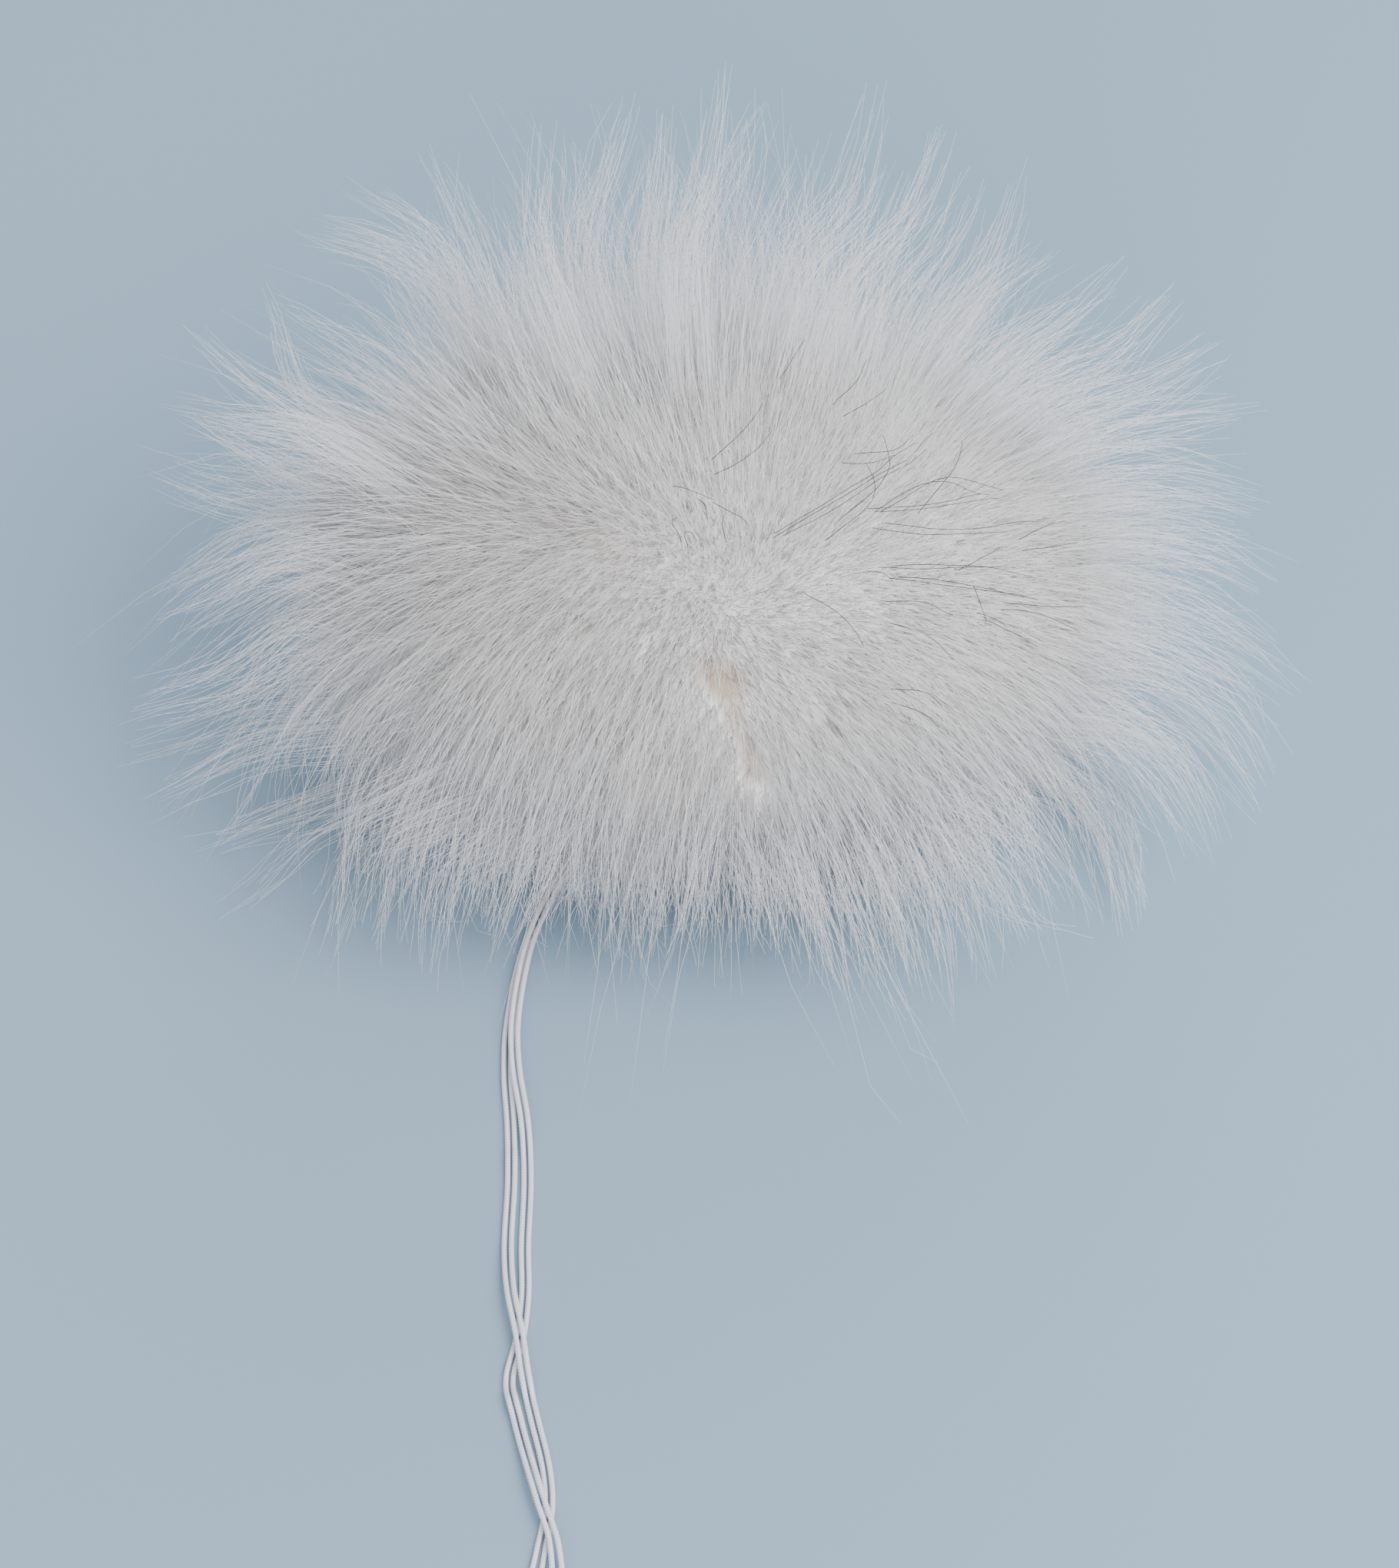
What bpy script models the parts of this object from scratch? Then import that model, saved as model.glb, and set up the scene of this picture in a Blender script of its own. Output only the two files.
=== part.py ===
"""Fur pom pom lying on its gathered back: one ball of pile and locks, and four tie cords."""

import math
import random

import bmesh
import bpy
import numpy as np
from mathutils import Vector, noise

# Flat gathered back, in metres. Its ten sides are the facets that the ties leave.
BACK_RADIUS = 0.026
BACK_HEIGHT = 0.006
BACK_SIDES = 10

# Dense pile, widest at its waist and drawn in to the back
PILE_SIDE = 0.067
PILE_FRONT = 0.062
PILE_BACK = 0.055
PILE_TOP = 0.068
PILE_WAIST = 0.038
PILE_UNDERSIDE = 0.007
PILE_LUMPS = 0.05
LUMP_SCALE = 2.1
PILE_DIVISIONS = 3
WANDER = 0.035
WANDER_SCALE = 7.0

# Locks fan out from the hair centre to a wider shell of tips, which is flatter in front
# and which the surface cuts off below its waist. They droop at its sides.
HAIR_CENTRE = Vector((-0.002, -0.020, 0.030))
REACH_SIDE = 0.102
REACH_BACK = 0.106
REACH_FRONT = 0.088
TIP_WAIST = 0.046
TIP_TOP = 0.112
SHELL_DEPTH = 0.070
SHORTEST, LONGEST = 0.80, 1.04
SHORT_UNDER = 0.75
UNDERSIDE_TOP = 0.020
STRAY = 0.0045
DROOP = 0.012
SHOULDER = 0.36
SWING = 0.07
SURFACE_REST = 0.0009
TIE_CLEARANCE = 0.0034
TIE_SECTOR = math.radians(24)
SEED = 34
HALVINGS = 24

LOCK_SECTIONS = (
    {"along": 0.00, "width": 0.90},
    {"along": 0.25, "width": 0.64},
    {"along": 0.54, "width": 0.38},
    {"along": 0.80, "width": 0.18},
)

# Tie cords: two pairs, a and b, that lie side by side, stacked or crossed
TIE_DIAMETER = 0.0009
GAP = 0.0003
STRAND_PITCH = TIE_DIAMETER + GAP
TIE_POINTS = 67
STEPS_PER_ROW = 24
EASE_POINTS = 2
EXIT_ANGLE = math.radians(-126)
STRAIGHT_OUT = 0.006
# Points by which each strand's free end is cut shorter than the route
CUT_SHORT = {"tie_1": 1, "tie_2": 0, "tie_3": 2, "tie_4": 1}

# Route on the surface in millimetres: its middle line, how far each pair lies to the right of it,
# the spacing inside a pair, and the pair that is on top where they cross
TIE_ROUTE = (
    {"x": -23.6, "y": -34.6, "a": 0.0, "b": 0.0, "spread": 1.2, "top": "b"},
    {"x": -28.2, "y": -45.6, "a": 0.0, "b": 0.3, "spread": 1.2, "top": "b"},
    {"x": -32.0, "y": -58.6, "a": -0.1, "b": 0.5, "spread": 1.2, "top": "b"},
    {"x": -33.9, "y": -75.6, "a": -0.3, "b": 0.6, "spread": 1.2, "top": "b"},
    {"x": -33.8, "y": -88.0, "a": -0.6, "b": 0.9, "spread": 1.2, "top": "b"},
    {"x": -32.3, "y": -101.0, "a": -1.2, "b": 1.2, "spread": 1.2, "top": "b"},
    {"x": -31.7, "y": -113.7, "a": -1.4, "b": 1.3, "spread": 1.2, "top": "a"},
    {"x": -31.8, "y": -127.9, "a": -1.5, "b": 1.3, "spread": 1.2, "top": "a"},
    {"x": -31.4, "y": -138.5, "a": -1.2, "b": 1.2, "spread": 1.2, "top": "a"},
    {"x": -30.9, "y": -148.0, "a": -0.1, "b": 0.1, "spread": 1.2, "top": "a"},
    {"x": -31.0, "y": -157.5, "a": 1.3, "b": -1.3, "spread": 1.2, "top": "a"},
    {"x": -29.6, "y": -165.5, "a": 1.4, "b": -1.3, "spread": 1.2, "top": "b"},
    {"x": -27.3, "y": -175.8, "a": 1.2, "b": -1.3, "spread": 1.2, "top": "b"},
    {"x": -26.0, "y": -184.0, "a": 0.5, "b": -0.6, "spread": 1.2, "top": "b"},
    {"x": -25.5, "y": -191.5, "a": -0.9, "b": 0.9, "spread": 1.3, "top": "b"},
    {"x": -25.6, "y": -200.0, "a": -2.0, "b": 1.9, "spread": 1.7, "top": "b"},
    {"x": -26.2, "y": -212.0, "a": -3.4, "b": 3.2, "spread": 2.6, "top": "b"},
)

MATERIALS = {
    "white_fur": {"colour": (0.80, 0.79, 0.80, 1.0), "roughness": 0.75},
    "tie_cord": {"colour": (0.86, 0.86, 0.89, 1.0), "roughness": 0.60},
}


def clear_scene():
    for obj in list(bpy.data.objects):
        bpy.data.objects.remove(obj, do_unlink=True)


def make_material(name):
    """A Principled material in the finish that the table gives."""
    material = bpy.data.materials.new(name)
    material.use_nodes = True
    shader = material.node_tree.nodes["Principled BSDF"]
    shader.inputs["Base Color"].default_value = MATERIALS[name]["colour"]
    shader.inputs["Roughness"].default_value = MATERIALS[name]["roughness"]
    shader.inputs["Metallic"].default_value = 0.0
    return material


def lump(direction):
    """The pile's uneven swelling in a direction, around 1."""
    return 1.0 + PILE_LUMPS * noise.noise(direction * LUMP_SCALE)


def on_pile(direction):
    """A unit direction's point on the dense pile."""
    deep = PILE_BACK if direction.y > 0 else PILE_FRONT
    high = PILE_TOP - PILE_WAIST if direction.z > 0 else PILE_WAIST - PILE_UNDERSIDE
    swell = lump(direction)
    return Vector((
        direction.x * PILE_SIDE * swell,
        direction.y * deep * swell,
        PILE_WAIST + direction.z * high * swell,
    ))


def shape_pile(bm):
    """A geodesic ball drawn out to the pile, open below on a ring of BACK_SIDES vertices."""
    bmesh.ops.create_icosphere(bm, subdivisions=PILE_DIVISIONS, radius=1.0)
    by_height = sorted(bm.verts, key=lambda v: round(v.co.z, 2))
    inside = by_height[:1 + BACK_SIDES // 2]
    ring = by_height[len(inside):len(inside) + BACK_SIDES]
    for vertex in bm.verts:
        if vertex in ring:
            azimuth = math.atan2(vertex.co.y, vertex.co.x)
            vertex.co = (
                BACK_RADIUS * math.cos(azimuth),
                BACK_RADIUS * math.sin(azimuth),
                BACK_HEIGHT,
            )
            continue
        wander = noise.noise_vector(vertex.co * WANDER_SCALE) * WANDER
        vertex.co = on_pile((vertex.co + wander).normalized())
    bmesh.ops.delete(bm, geom=inside, context="VERTS")


def shape_back(bm):
    """The gathered back: short upright facets down from the pile's open ring, and a flat foot."""
    rim = [edge for edge in bm.edges if edge.is_boundary]
    walls = bmesh.ops.extrude_edge_only(bm, edges=rim)["geom"]
    foot = [item for item in walls if isinstance(item, bmesh.types.BMVert)]
    for vertex in foot:
        vertex.co.z = 0.0
    bmesh.ops.contextual_create(bm, geom=[edge for edge in bm.edges if edge.is_boundary])


def in_tip_shell(point):
    """Whether a point lies inside the shell of tips."""
    deep = REACH_BACK if point.y > 0 else REACH_FRONT
    high = TIP_TOP - TIP_WAIST if point.z > TIP_WAIST else SHELL_DEPTH
    return (
        (point.x / REACH_SIDE) ** 2
        + (point.y / deep) ** 2
        + ((point.z - TIP_WAIST) / high) ** 2
    ) < 1.0


def to_tip_shell(root):
    """Where the ray from the hair centre through a root meets the shell of tips, by halving."""
    ray = (root - HAIR_CENTRE).normalized()
    near, far = 0.0, REACH_SIDE + REACH_BACK
    for _ in range(HALVINGS):
        middle = (near + far) / 2
        if in_tip_shell(HAIR_CENTRE + ray * middle):
            near = middle
        else:
            far = middle
    return HAIR_CENTRE + ray * near


def rest_height(root):
    """How high a lock stays above the surface: more over the ties than elsewhere."""
    azimuth = math.atan2(root.y, root.x)
    return TIE_CLEARANCE if abs(azimuth - EXIT_ANGLE) < TIE_SECTOR else SURFACE_REST


def any_way(draw, size):
    """A random step of up to the given size along each axis."""
    return Vector([draw.uniform(-size, size) for _ in range(3)])


def lock_tip(root, draw):
    """A lock's tip: on the shell of tips, longer or shorter, astray and drooping at the sides."""
    shell = to_tip_shell(root)
    length = draw.uniform(SHORTEST, LONGEST)
    if root.z < UNDERSIDE_TOP:
        length *= SHORT_UNDER
    tip = root + (shell - root) * length + any_way(draw, STRAY)
    out = math.hypot(tip.x, tip.y) / REACH_SIDE
    tip.z -= DROOP * out * out
    return tip


def bend(root, shoulder, tip, along):
    """Place and heading at a share of the way along a lock."""
    place = (
        root * (1 - along) ** 2
        + shoulder * 2 * along * (1 - along)
        + tip * along ** 2
    )
    heading = (shoulder - root) * (1 - along) + (tip - shoulder) * along
    return place, heading.normalized()


def grow_lock(bm, face, draw):
    """Draw one face of the pile out to a three-sided lock that tapers to a point."""
    root = face.calc_center_median()
    heading = face.normal.copy()
    tip = lock_tip(root, draw)
    rest = rest_height(root)
    length = (tip - root).length
    shoulder = root + heading * length * SHOULDER + any_way(draw, length * SWING)
    start, centre, width = root.copy(), root.copy(), 1.0
    for section in LOCK_SECTIONS:
        face = bmesh.ops.extrude_discrete_faces(bm, faces=[face])["faces"][0]
        place, ahead = bend(start, shoulder, tip, section["along"])
        if place == start:
            ahead = heading
        turn = heading.rotation_difference(ahead)
        scale = section["width"] / width
        corners = [place + (turn @ (v.co - centre)) * scale for v in face.verts]
        lift = Vector((0, 0, max(0.0, rest - min(corner.z for corner in corners))))
        for vertex, corner in zip(face.verts, corners):
            vertex.co = corner + lift
        centre, heading, width = place + lift, ahead, section["width"]
    tip.z = max(tip.z, rest)
    point = bmesh.ops.poke(bm, faces=[face])["verts"][0]
    point.co = tip


def make_fur_ball():
    """The whole ball in one solid: back, dense pile, and a lock on each of the pile's faces."""
    noise.seed_set(SEED)
    bm = bmesh.new()
    shape_pile(bm)
    shape_back(bm)
    bmesh.ops.recalc_face_normals(bm, faces=bm.faces)
    rooted = [face for face in bm.faces if len(face.verts) == 3]
    draw = random.Random(SEED)
    for face in rooted:
        grow_lock(bm, face, draw)
    bmesh.ops.triangulate(bm, faces=bm.faces, quad_method="SHORT_EDGE")
    bmesh.ops.recalc_face_normals(bm, faces=bm.faces)
    mesh = bpy.data.meshes.new("fur_ball")
    bm.to_mesh(mesh)
    bm.free()
    mesh.materials.append(make_material("white_fur"))
    ball = bpy.data.objects.new("fur_ball", mesh)
    bpy.context.collection.objects.link(ball)


def tie_stations():
    """The route's rows in metres, with the straight start at the back's facet put first."""
    facet = BACK_RADIUS * math.cos(math.pi / BACK_SIDES) + GAP
    rows = []
    for out in (facet, facet + STRAIGHT_OUT):
        x, y = out * math.cos(EXIT_ANGLE), out * math.sin(EXIT_ANGLE)
        rows.append((x, y, 0.0, 0.0, STRAND_PITCH, 1.0))
    for row in TIE_ROUTE:
        sizes = [row[key] / 1000 for key in ("x", "y", "a", "b", "spread")]
        rows.append((*sizes, 1.0 if row["top"] == "b" else 0.0))
    return np.array(rows)


def smooth_through(rows, count):
    """Evenly spaced points on a Catmull-Rom curve through the rows, spaced by their x and y."""
    padded = np.vstack((2 * rows[0] - rows[1], rows, 2 * rows[-1] - rows[-2]))
    fine = []
    for p0, p1, p2, p3 in zip(padded, padded[1:], padded[2:], padded[3:]):
        for t in np.linspace(0, 1, STEPS_PER_ROW, endpoint=False):
            fine.append(0.5 * (
                2 * p1
                + (p2 - p0) * t
                + (2 * p0 - 5 * p1 + 4 * p2 - p3) * t ** 2
                + (3 * p1 - p0 - 3 * p2 + p3) * t ** 3
            ))
    fine = np.array(fine + [rows[-1]])
    travel = np.concatenate(([0], np.cumsum(np.linalg.norm(np.diff(fine[:, :2], axis=0), axis=1))))
    even = np.linspace(0, travel[-1], count)
    return np.column_stack([np.interp(even, travel, column) for column in fine.T])


def eased(lift):
    """A lift that is nowhere lower than the one given, with gentle slopes."""
    reach = EASE_POINTS
    wide = np.pad(lift, 2 * reach, mode="edge")
    raised = np.array([wide[i:i + 2 * reach + 1].max() for i in range(len(wide) - 2 * reach)])
    kernel = np.ones(2 * reach + 1) / (2 * reach + 1)
    return np.convolve(raised, kernel, mode="valid")


def tie_paths():
    """The middle line of each of the four strands, resting on the surface or on one another."""
    x, y, a, b, spread, top_is_b = smooth_through(tie_stations(), TIE_POINTS).T
    heading = np.gradient(np.column_stack((x, y)), axis=0)
    heading /= np.linalg.norm(heading, axis=1)[:, None]
    right = np.column_stack((-heading[:, 1], heading[:, 0]))
    sideways = {
        "tie_1": a - spread / 2,
        "tie_2": a + spread / 2,
        "tie_3": b - spread / 2,
        "tie_4": b + spread / 2,
    }
    lift = np.zeros(len(x))
    for under in ("tie_1", "tie_2"):
        for over in ("tie_3", "tie_4"):
            apart = np.abs(sideways[over] - sideways[under])
            need = np.sqrt(np.maximum(STRAND_PITCH ** 2 - apart ** 2, 0))
            lift = np.maximum(lift, need)
    lift = eased(lift)
    b_on_top = top_is_b > 0.5
    paths = {}
    for name, offset in sideways.items():
        raised = b_on_top if name in ("tie_3", "tie_4") else ~b_on_top
        height = TIE_DIAMETER / 2 + lift * raised
        points = np.column_stack((
            x + right[:, 0] * offset,
            y + right[:, 1] * offset,
            height,
        ))
        paths[name] = points[:len(points) - CUT_SHORT[name]]
    return paths


def make_tie(name, points, material):
    """One tie: a round cord along its middle line, its ends closed."""
    curve = bpy.data.curves.new(name, "CURVE")
    curve.dimensions = "3D"
    curve.bevel_depth = TIE_DIAMETER / 2
    curve.bevel_resolution = 2
    curve.use_fill_caps = True
    spline = curve.splines.new("POLY")
    spline.points.add(len(points) - 1)
    for knot, place in zip(spline.points, points):
        knot.co = (*place, 1.0)
    curve.materials.append(material)
    bpy.context.collection.objects.link(bpy.data.objects.new(name, curve))


def main():
    clear_scene()
    make_fur_ball()
    cord = make_material("tie_cord")
    for name, points in tie_paths().items():
        make_tie(name, points, cord)


main()
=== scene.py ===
"""Fur pom pom: long white hair over a dense pile, a gathered back and four twisted ties."""

import math

import bmesh
import bpy
import numpy as np
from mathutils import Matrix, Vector, noise


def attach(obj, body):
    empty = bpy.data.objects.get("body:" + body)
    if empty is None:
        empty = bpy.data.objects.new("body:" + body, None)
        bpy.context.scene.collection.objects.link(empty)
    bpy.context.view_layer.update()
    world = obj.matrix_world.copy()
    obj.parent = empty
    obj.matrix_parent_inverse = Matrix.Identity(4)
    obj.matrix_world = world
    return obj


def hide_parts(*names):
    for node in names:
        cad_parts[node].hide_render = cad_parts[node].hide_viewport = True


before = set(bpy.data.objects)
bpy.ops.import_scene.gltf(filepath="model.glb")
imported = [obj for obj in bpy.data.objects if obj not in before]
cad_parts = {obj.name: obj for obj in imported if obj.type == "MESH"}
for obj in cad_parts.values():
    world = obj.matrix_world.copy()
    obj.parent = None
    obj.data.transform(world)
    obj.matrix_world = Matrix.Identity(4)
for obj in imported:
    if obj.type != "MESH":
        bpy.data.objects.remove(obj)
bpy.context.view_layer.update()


def table(columns, *rows):
    """Rows of values, each under its column's name."""
    return [dict(zip(columns, row)) for row in rows]


# The photograph, 1820 by 2040 pixels, looks down from 42 degrees
PHOTO_WIDTH, PHOTO_HEIGHT = 1820, 2040
CAMERA_ELEVATION = math.radians(42)
CAMERA_DISTANCE = 1.0
CAMERA_TARGET = np.array((-0.002, -0.015, 0.0))
PIXELS_PER_METRE = 7300
SENSOR = 36.0

# Where a line of sight is searched for the pile: shares of the camera's distance
SIGHT_NEAR, SIGHT_FAR = 0.8, 1.1
SIGHT_STEPS = 3000

# Gathered back: a flat round whose ten sides the ties leave, drawn up in pleats
BACK_RADIUS = 0.026
BACK_SIDES = 10
BACK_TOP = 0.013
PLEATS = 26
PLEAT_DEPTH = 0.0012
PLEAT_STEPS = 8
DRAWN_IN = 0.0035
BACK_RINGS = 12
BACK_ROUNDING = 0.0015
WALL_RINGS = 4
WALL_LOWEST = 0.004
WOBBLE = 2
WOBBLE_SCALE = 3

# Shares of the back's radius: its drawn middle, where its pleats are full, and where its edge
# folds in and rounds up
BACK_MIDDLE = 0.06
PLEATED_BY = 0.5
FOLDED_FROM = 0.9
ROUNDED_FROM = 0.93

# Dense pile under the hair, widest at its waist, flatter at the back
PILE_SIDE = 0.066
PILE_FRONT = 0.062
PILE_BACK = 0.056
PILE_TOP = 0.068
PILE_WAIST = 0.038
PILE_UNDERSIDE = 0.006
PILE_DIVISIONS = 6
PILE_SWELL = 0.0028
SWELL_SCALE = 56.0
ROOTED_OVER = 0.004
ROOT_STEPS = 400

# Long hair fans out from its centre to a wider shell of tips, flatter in front
HAIR_CENTRE = np.array((-0.002, -0.020, 0.030))
REACH_SIDE = 0.103
REACH_BACK = 0.108
REACH_FRONT = 0.090
TIP_WAIST = 0.046
TIP_TOP = 0.114
SHELL_DEPTH = 0.070
HALVINGS = 24
DROOP = 0.010
SHOULDER = 0.40
SHOULDER_UPRIGHT = 0.70
SWIRL = 0.30
SWIRL_SCALE = 26.0
SWIRL_SEED = 3
OCTAVES = 4
OCTAVE_STEP = 0.45

# It hangs downwards below the whorl, more on the left than on the right, and a little behind.
# Heights are those in the picture, from level with the surface at the camera's target.
HANG = 0.80
HANG_FROM = 0.085
HANG_LEFT, HANG_RIGHT = 0.020, -0.020
RIGHT_FROM, RIGHT_TO = -0.02, 0.03
HANG_LONGER = 0.80
UNDER_HANG_LONGER = 1.6
HANG_WAY = np.array((0.0, -0.33, -0.944))
HANG_BEHIND = 0.35
BEHIND_WAY = np.array((0.0, 0.33, -0.944))
BEHIND_FROM, BEHIND_TO = 0.15, 0.75

# It lies flatter near its parting, a short line from the whorl down to the lower end
WHORL_PIXEL = (934, 880)
PARTING_PIXEL = (987, 1018)
LAY_NEAR = math.radians(38)
LAY_FAR = math.radians(9)
LAY_FADE = math.radians(50)
LEAST_SINE = 1e-4

# Where cream roots show, from one photo pixel to another: how wide, in metres, and how cream.
# The under hair is thinner there.
CREAM_PLACES = table(
    ("from", "to", "wide", "cream"),
    ((932, 876), (944, 892), 0.0050, 1.0),
    ((934, 880), (987, 1010), 0.0030, 0.80),
    ((858, 1034), (872, 1066), 0.0090, 0.55),
    ((716, 672), (800, 722), 0.0055, 0.30),
    ((744, 806), (792, 832), 0.0042, 0.25),
    ((1060, 1052), (1150, 1040), 0.0065, 0.25),
)
CREAM_CORE = 0.4
THINNED = 0.80
TIP_WHITE = 0.80

# Where the hair meets the surface it rests on, and where the ties pass under it
SURFACE_REST = 0.0014
OVER_TIES = 0.0036
TIE_NEAR, TIE_FAR = 0.002, 0.007
REST_BLEND = 0.004

# Ties: two pairs, a and b, of twisted cord
TIE_DIAMETER = 0.0009
GAP = 0.0003
STRAND_PITCH = TIE_DIAMETER + GAP
TIE_POINTS = 67
STEPS_PER_ROW = 24
EASE_POINTS = 2
EXIT_ANGLE = math.radians(-126)
STRAIGHT_OUT = 0.006
CUT_SHORT = {"tie_1": 1, "tie_2": 0, "tie_3": 2, "tie_4": 1}
PLIES = 4
SIDES_PER_PLY = 3
PLY_LAY = 0.0026
PLY_DEPTH = 0.11

# Route of the ties in millimetres: its middle line, how far each pair lies to the right of it,
# the spacing inside a pair, and the pair that is on top where they cross
TIE_ROUTE = table(
    ("x", "y", "a", "b", "spread", "top"),
    (-23.6, -34.6, 0.0, 0.0, 1.2, "b"),
    (-28.2, -45.6, 0.0, 0.3, 1.2, "b"),
    (-32.0, -58.6, -0.1, 0.5, 1.2, "b"),
    (-33.9, -75.6, -0.3, 0.6, 1.2, "b"),
    (-33.8, -88.0, -0.6, 0.9, 1.2, "b"),
    (-32.3, -101.0, -1.2, 1.2, 1.2, "b"),
    (-31.7, -113.7, -1.4, 1.3, 1.2, "a"),
    (-31.8, -127.9, -1.5, 1.3, 1.2, "a"),
    (-31.4, -138.5, -1.2, 1.2, 1.2, "a"),
    (-30.9, -148.0, -0.1, 0.1, 1.2, "a"),
    (-31.0, -157.5, 1.3, -1.3, 1.2, "a"),
    (-29.6, -165.5, 1.4, -1.3, 1.2, "b"),
    (-27.3, -175.8, 1.2, -1.3, 1.2, "b"),
    (-26.0, -184.0, 0.5, -0.6, 1.2, "b"),
    (-25.5, -191.5, -0.9, 0.9, 1.3, "b"),
    (-25.6, -200.0, -2.0, 1.9, 1.7, "b"),
    (-26.2, -212.0, -3.4, 3.2, 2.6, "b"),
)

# Dense under hair: hairs on each square metre of the pile, the spacing of its soft tufts, its
# lengths and widths in metres, and how far it leans with the flow, with its tuft and astray
UNDER_HAIR = table(
    ("name", "Hairs", "Tufts", "Seed", "Bends", "Shortest", "Longest", "Leaning", "Tufting",
     "Straying", "Width"),
    ("under_hair_1", 1320000.0, 0.007, 11, 1, 0.0025, 0.0065, 0.45, 0.12, 1.00, 0.00018),
    ("under_hair_2", 1320000.0, 0.010, 12, 1, 0.0035, 0.0095, 0.45, 0.15, 0.90, 0.00016),
    ("under_hair_3", 360000.0, 0.009, 13, 2, 0.006, 0.017, 0.55, 0.25, 0.55, 0.00014),
)
BEND = 0.55
FRIZZ_SCALE = 55.0
FRIZZ_VARIETY = 3.0
NOISE_MIDDLE = (0.5, 0.5, 0.5)

# Long hair over it, gathered in wisps. Its shortest and longest are shares of the way from the
# pile to the shell of tips.
LONG_HAIR = table(
    ("name", "Hairs", "Wisps", "Seed", "Points", "Shortest", "Longest", "Length Bias",
     "Gathering", "Straying", "Frizz", "Root Width", "Tip Width"),
    ("long_hair_1", 120000.0, 0.0130, 21, 6, 0.32, 0.80, 1.6, 0.65, 0.013, 0.0070,
     0.00011, 0.00005),
    ("long_hair_2", 120000.0, 0.0080, 22, 6, 0.28, 0.72, 1.6, 0.30, 0.022, 0.0085,
     0.00010, 0.00005),
)
WISP_LEAN = 0.13
WISP_BOW = 0.10
MOST_WISPS = 60000.0

# It is longer behind, and sparse round the parting, but not low in the picture
LONGER_BEHIND = 0.32
LONGER_FROM, LONGER_TO = -0.1, 0.5
LONG_LEAST = 0.13
LONG_FROM, LONG_TO = math.radians(40), math.radians(90)
LONG_LOW, LONG_HIGH = -0.010, 0.028

# Wisps at the rim, by the photograph's pixels: where each comes out of the dense hair, what it
# bends over and its tip, with its number of hairs and its width at the root in millimetres
RIM_WISPS = table(
    ("from", "over", "to", "hairs", "wide"),
    ((399, 829), (300, 890), (172, 926), 60, 6.5),
    ((345, 915), (262, 950), (158, 980), 68, 6.0),
    ((362, 962), (275, 1000), (188, 1045), 56, 6.0),
    ((385, 1060), (320, 1085), (258, 1110), 60, 5.5),
    ((425, 1070), (365, 1130), (286, 1186), 32, 5.0),
    ((478, 1080), (450, 1150), (428, 1222), 48, 6.0),
    ((520, 1105), (500, 1165), (478, 1236), 44, 5.5),
    ((399, 679), (300, 716), (206, 776), 68, 6.0),
    ((370, 720), (290, 770), (198, 812), 36, 6.0),
    ((360, 655), (285, 640), (196, 606), 52, 5.5),
    ((356, 606), (300, 575), (244, 536), 52, 4.5),
    ((418, 559), (322, 545), (214, 524), 76, 5.5),
    ((395, 535), (325, 490), (252, 424), 48, 5.0),
    ((396, 512), (367, 440), (340, 366), 40, 3.2),
    ((490, 458), (430, 425), (362, 394), 24, 5.0),
    ((547, 440), (520, 390), (486, 330), 32, 5.0),
    ((604, 412), (533, 336), (391, 291), 72, 5.0),
    ((612, 392), (566, 300), (446, 232), 52, 5.0),
    ((647, 400), (612, 310), (560, 200), 20, 4.5),
    ((690, 392), (678, 340), (655, 285), 32, 5.0),
    ((708, 352), (702, 270), (707, 160), 52, 3.6),
    ((742, 335), (745, 260), (744, 180), 40, 4.0),
    ((758, 333), (785, 240), (818, 122), 60, 4.0),
    ((806, 333), (820, 270), (842, 205), 36, 5.0),
    ((849, 330), (864, 242), (872, 132), 60, 4.0),
    ((892, 328), (921, 237), (944, 70), 64, 4.2),
    ((905, 330), (945, 230), (1000, 118), 40, 4.5),
    ((954, 312), (973, 230), (974, 112), 28, 4.0),
    ((1000, 330), (1030, 260), (1050, 190), 32, 6.0),
    ((1040, 345), (1107, 276), (1148, 112), 56, 5.0),
    ((1078, 350), (1135, 300), (1180, 205), 36, 5.0),
    ((1117, 358), (1184, 299), (1238, 156), 56, 5.0),
    ((1180, 385), (1235, 320), (1272, 230), 36, 5.0),
    ((1241, 408), (1286, 342), (1328, 226), 44, 5.0),
    ((1252, 412), (1305, 362), (1362, 322), 56, 4.5),
    ((1313, 466), (1385, 412), (1462, 340), 48, 5.5),
    ((1339, 508), (1446, 463), (1534, 372), 60, 6.0),
    ((1393, 540), (1491, 507), (1594, 446), 56, 6.0),
    ((1400, 575), (1510, 552), (1622, 540), 52, 6.0),
    ((1402, 623), (1520, 620), (1650, 650), 48, 6.0),
    ((1424, 668), (1530, 664), (1640, 684), 48, 5.5),
    ((1446, 704), (1558, 712), (1664, 770), 48, 5.5),
    ((1460, 745), (1558, 775), (1650, 842), 52, 6.0),
    ((1464, 800), (1598, 850), (1682, 920), 60, 7.0),
    ((1470, 850), (1590, 905), (1648, 1002), 52, 6.5),
    ((1444, 890), (1559, 945), (1648, 1066), 44, 6.5),
    ((1450, 930), (1545, 985), (1594, 1076), 44, 5.0),
    ((1420, 930), (1513, 1002), (1570, 1112), 52, 5.5),
    ((1391, 950), (1478, 1022), (1526, 1128), 56, 5.5),
    ((1376, 1000), (1437, 1062), (1476, 1204), 76, 5.0),
    ((1365, 1030), (1415, 1105), (1442, 1224), 40, 5.0),
)

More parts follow.
